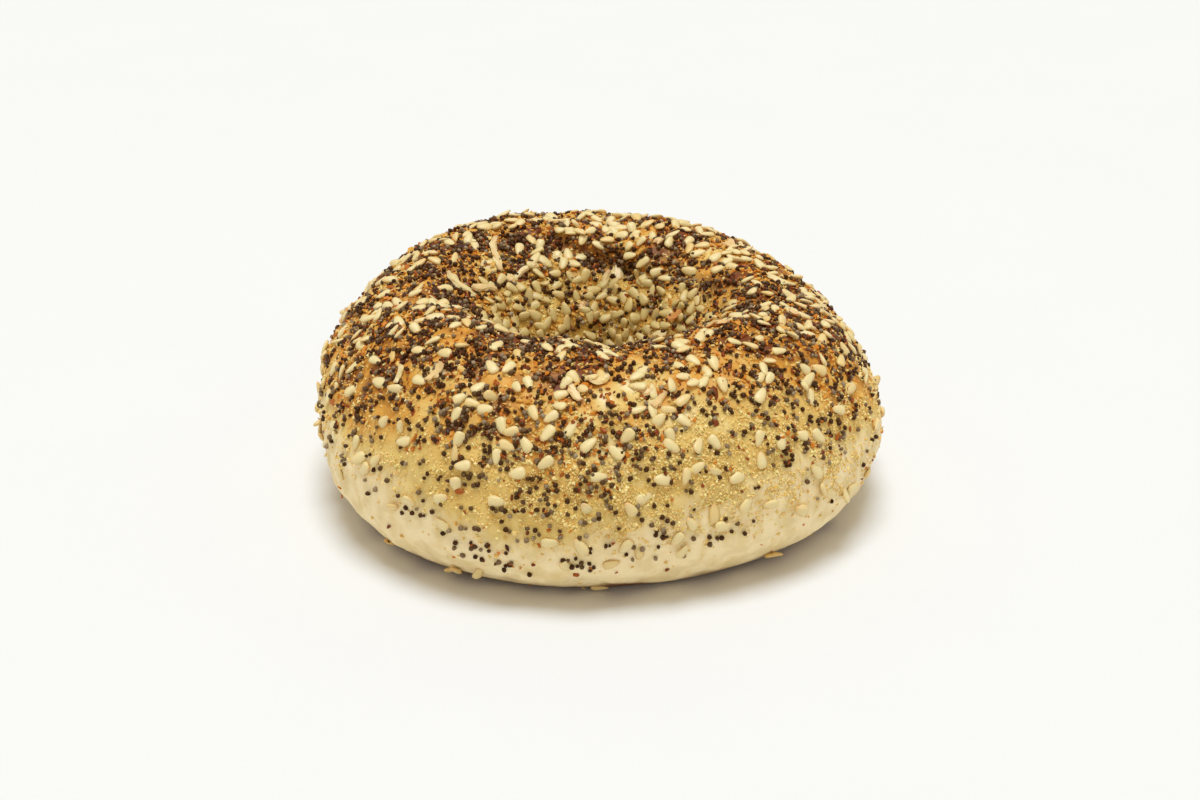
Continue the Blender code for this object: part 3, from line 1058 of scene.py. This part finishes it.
class BAGEL_OT_add_poppy(bpy.types.Operator):
    """Add the poppy seeds"""

    bl_idname = "bagel.add_poppy"
    bl_label = "Poppy seeds"

    def execute(self, context):
        sizes, toppings, colours = settings(context)
        draw = np.random.default_rng(DRAWS["poppy"])
        seeds = sesame_places(sizes, toppings)[0]
        taken = dough(sizes, *seeds.T)
        angles = strew(sizes, draw, toppings.poppy_count, poppy_share, POPPY_GAP, taken, POPPY_CLEAR)
        count = len(angles)
        # A small ball with each point moved in or out at random, and with its three widths drawn apart
        points, faces = ball(3, 6)
        shapes = points[None] * draw.uniform(0.90, 1.10, (count, len(points), 1))
        build = toppings.poppy_size / 2 * draw.uniform(0.72, 1.15, (count, 1))
        build = build * draw.uniform(0.82, 1.08, (count, 3))
        shapes = shapes * build[:, None, :]
        lift = draw.uniform(0.12 * MM, 0.42 * MM, count)
        spin, tilt = draw.uniform(0, 2 * math.pi, (2, count))
        placed = lay(sizes, shapes, angles, spin, lift, draw.normal(size=count), tilt)
        mesh = join_toppings("poppy", placed, faces, tone=draw.random(count))
        show_piece(mesh, poppy_finish(colours))
        return {"FINISHED"}


def strew_bits(name, sizes, toppings, count, share, paleness):
    """One mesh of bits of onion or garlic.

    Each is a few-sided ball with every point moved in or out at random, drawn out in length and flattened.
    Its tone is this paleness, less a part of how brown the crust under it is, give or take at random.
    """
    draw = np.random.default_rng(DRAWS[name])
    angles = strew(sizes, draw, count, share, BIT_GAP)
    points, faces = ball(2, 5)
    shapes = points[None] * draw.uniform(0.65, 1.2, (count, len(points), 1))
    build = toppings.bit_size / 2 * np.exp(0.30 * draw.normal(size=(count, 1)))
    build = build * draw.uniform([1.0, 0.6, 0.35], [1.5, 1.0, 0.7], (count, 3))
    shapes = shapes * build[:, None, :]
    spin = draw.uniform(0, 2 * math.pi, count)
    lean, tilt = 0.4 * draw.normal(size=(2, count))
    placed = lay(sizes, shapes, angles, spin, draw.uniform(0, 0.3 * MM, count), lean, tilt)
    toast = toast_and_lip_shade(*angles.T, dough(sizes, *angles.T))
    tone = np.clip(paleness - 0.6 * toast + 0.26 * draw.normal(size=count), 0, 1)
    return join_toppings(name, placed, faces, False, tone=tone)


class BAGEL_OT_add_bits(bpy.types.Operator):
    """Add the toasted bits of onion and the golden bits of garlic"""

    bl_idname = "bagel.add_bits"
    bl_label = "Onion and garlic bits"

    def execute(self, context):
        sizes, toppings, colours = settings(context)
        count = toppings.onion_bit_count
        mesh = strew_bits("onion_bits", sizes, toppings, count, onion_bit_share, ONION_PALENESS)
        stops = ((0.1, colours.bit_dark), (0.5, colours.bit_red), (1.0, colours.bit_orange))
        show_piece(mesh, bit_finish("toasted_onion", stops))
        count = toppings.garlic_bit_count
        mesh = strew_bits("garlic_bits", sizes, toppings, count, garlic_bit_share, GARLIC_PALENESS)
        stops = ((0.1, colours.bit_orange), (0.6, colours.bit_gold), (1.0, colours.bit_pale))
        show_piece(mesh, bit_finish("golden_garlic", stops))
        return {"FINISHED"}


class BAGEL_OT_add_granules(bpy.types.Operator):
    """Add the fine golden granules"""

    bl_idname = "bagel.add_granules"
    bl_label = "Golden granules"

    def execute(self, context):
        sizes, toppings, colours = settings(context)
        draw = np.random.default_rng(DRAWS["golden_granules"])
        angles = strew(sizes, draw, toppings.granule_count, granule_share)
        count = len(angles)
        # Two four-sided points end to end, each corner moved in or out at random
        points, faces = ball(1, 4)
        shapes = points[None] * draw.uniform(0.7, 1.2, (count, len(points), 1))
        build = toppings.granule_size / 2 * np.exp(0.3 * draw.normal(size=(count, 1)))
        shapes = shapes * (build * draw.uniform(0.7, 1.2, (count, 3)))[:, None, :]
        spin = draw.uniform(0, 2 * math.pi, count)
        lean, tilt = draw.normal(size=(2, count))
        placed = lay(sizes, shapes, angles, spin, draw.uniform(0, 0.12 * MM, count), lean, tilt)
        mesh = join_toppings("golden_granules", placed, faces, False, tone=draw.random(count))
        show_piece(mesh, granule_finish(colours))
        return {"FINISHED"}


class BAGEL_OT_add_onion_flakes(bpy.types.Operator):
    """Add the onion flakes: the long ones, then small ones strewn as the sesame is"""

    bl_idname = "bagel.add_onion_flakes"
    bl_label = "Onion flakes"

    def execute(self, context):
        sizes, toppings, colours = settings(context)
        draw = np.random.default_rng(DRAWS["onion_flakes"])
        own = np.array(ONION_FLAKES, float)
        more = strew(sizes, draw, toppings.onion_count, seed_share, FLAKE_GAP)
        angles = np.vstack([np.radians(own[:, :2]), more])
        angles[:, 0] = away_from(angles[:, 0], 0)
        count = len(angles)
        spin = np.concatenate([np.radians(own[:, 2]), draw.uniform(0, 2 * math.pi, len(more))])
        reach = np.concatenate([own[:, 3], draw.uniform(1.8 * MM, 4.0 * MM, len(more))])
        breadth = np.concatenate([own[:, 4], draw.uniform(1.1 * MM, 2.0 * MM, len(more))])
        # A long ball with blunt ends and ragged sides, bent sideways by the square of x and a wave of it, and
        # curled out of its plane by the square of x
        points, faces = ball(8, 6)
        x, y, z = points.T
        blunt = (1.02 - x**2) ** -0.36
        ragged = 1 + 0.24 * draw.normal(size=(count, len(x)))
        bend, curl = 0.4 * draw.normal(size=(2, count, 1))
        bend = reach[:, None] * (0.16 * bend * x**2 + 0.03 * np.sin(4 * x + 9 * curl))
        shapes = np.stack(
            [
                np.broadcast_to(x / 2, ragged.shape) * reach[:, None],
                y * blunt * ragged * breadth[:, None] / 2 + bend,
                z * blunt * toppings.onion_thickness / 2 + curl * (x**2 - 0.3) * breadth[:, None] / 2,
            ],
            axis=-1,
        )
        lean, tilt = 0.12 * draw.normal(size=(2, count))
        placed = lay(sizes, shapes, angles, spin, draw.uniform(0.3 * MM, 0.6 * MM, count), lean, tilt)
        tone = np.clip(0.25 * draw.normal(size=count) + 0.2, 0, 1)
        tip = np.broadcast_to(np.abs(x), (count, len(x)))
        mesh = join_toppings("onion_flakes", placed, faces, False, tone=tone, tip=tip)
        show_piece(mesh, onion_finish(colours))
        return {"FINISHED"}


class BAGEL_OT_set_stage(bpy.types.Operator):
    """Set the floor, the light and the camera"""

    bl_idname = "bagel.set_stage"
    bl_label = "Stage"

    def execute(self, context):
        stage = context.scene.bagel_stage
        self.lay_floor(stage)
        self.light(context.scene, stage)
        self.aim_camera(context.scene, stage)
        return {"FINISHED"}

    def lay_floor(self, stage):
        reach = 30 * BAGEL_WIDTH
        corners = np.array([[-1, -1, 0], [1, -1, 0], [1, 1, 0], [-1, 1, 0]]) * reach
        corners[:, 2] = BAGEL_LOW.z
        mesh = make_mesh("floor", corners, np.array([[0, 1, 2, 3]]), False)
        finish = Finish("pale_floor", {"Roughness": 0.7, "Specular IOR Level": 0.2})
        shade = [0.985 * part for part in stage.floor_colour]
        finish.feed("Base Color", finish.mix(finish.noise(40.0), stage.floor_colour, shade))
        mesh.materials.append(finish.material)
        floor = bpy.data.objects.new("floor", mesh)
        bpy.context.scene.collection.objects.link(floor)

    def light(self, scene, stage):
        world = bpy.data.worlds.new("soft_sky")
        world.use_nodes = True
        sky = world.node_tree.nodes["Background"]
        sky.inputs["Color"].default_value = (*stage.sky_colour, 1.0)
        sky.inputs["Strength"].default_value = stage.sky_strength
        scene.world = world
        lamp = bpy.data.lights.new("overhead_lamp", "SUN")
        lamp.color = stage.lamp_colour
        lamp.energy = stage.lamp_strength
        lamp.angle = stage.lamp_spread
        lamp_object = bpy.data.objects.new("overhead_lamp", lamp)
        # Nearly overhead, a little to the front
        lamp_object.location = Vector((0.0, -0.3, 6.0)) * BAGEL_WIDTH
        lamp_object.rotation_euler = (-lamp_object.location).to_track_quat("-Z", "Y").to_euler()
        scene.collection.objects.link(lamp_object)
        scene.view_settings.view_transform = "Standard"

    def aim_camera(self, scene, stage):
        camera = bpy.data.objects.new("camera", bpy.data.cameras.new("camera"))
        camera.data.lens = stage.lens
        target = Vector((stage.target_side, -stage.target_front, stage.target_height))
        back = Vector((0, -math.cos(stage.elevation), math.sin(stage.elevation)))
        camera.location = target + stage.distance * back
        camera.rotation_euler = (-back).to_track_quat("-Z", "Y").to_euler()
        camera.data.clip_start = 10 * MM
        scene.collection.objects.link(camera)
        scene.camera = camera


class BAGEL_PT_panel(bpy.types.Panel):
    """The bagel's sizes, colours and parts in the sidebar"""

    bl_label = "Everything Bagel"
    bl_idname = "BAGEL_PT_panel"
    bl_space_type = "VIEW_3D"
    bl_region_type = "UI"
    bl_category = "Bagel"

    def draw(self, context):
        for operator in OPERATORS:
            self.layout.operator(operator.bl_idname)
        for name in SETTINGS:
            box = self.layout.box()
            group = getattr(context.scene, name)
            for setting in group.bl_rna.properties.keys():
                if setting not in ("rna_type", "name"):
                    box.prop(group, setting)


OPERATORS = (
    BAGEL_OT_add_crust,
    BAGEL_OT_add_sesame,
    BAGEL_OT_add_poppy,
    BAGEL_OT_add_bits,
    BAGEL_OT_add_granules,
    BAGEL_OT_add_onion_flakes,
    BAGEL_OT_set_stage,
)
SETTINGS = {
    "bagel_dough": BagelDough,
    "bagel_toppings": BagelToppings,
    "bagel_colours": BagelColours,
    "bagel_stage": BagelStage,
}


def register():
    for group in (*SETTINGS.values(), *OPERATORS, BAGEL_PT_panel):
        bpy.utils.register_class(group)
    for name, group in SETTINGS.items():
        setattr(bpy.types.Scene, name, PointerProperty(type=group))


def unregister():
    for name in SETTINGS:
        delattr(bpy.types.Scene, name)
    for group in reversed((*SETTINGS.values(), *OPERATORS, BAGEL_PT_panel)):
        bpy.utils.unregister_class(group)


def main():
    register()
    bpy.ops.bagel.add_crust()
    bpy.ops.bagel.add_sesame()
    bpy.ops.bagel.add_poppy()
    bpy.ops.bagel.add_bits()
    bpy.ops.bagel.add_granules()
    bpy.ops.bagel.add_onion_flakes()
    bpy.ops.bagel.set_stage()


if __name__ == "__main__":
    main()
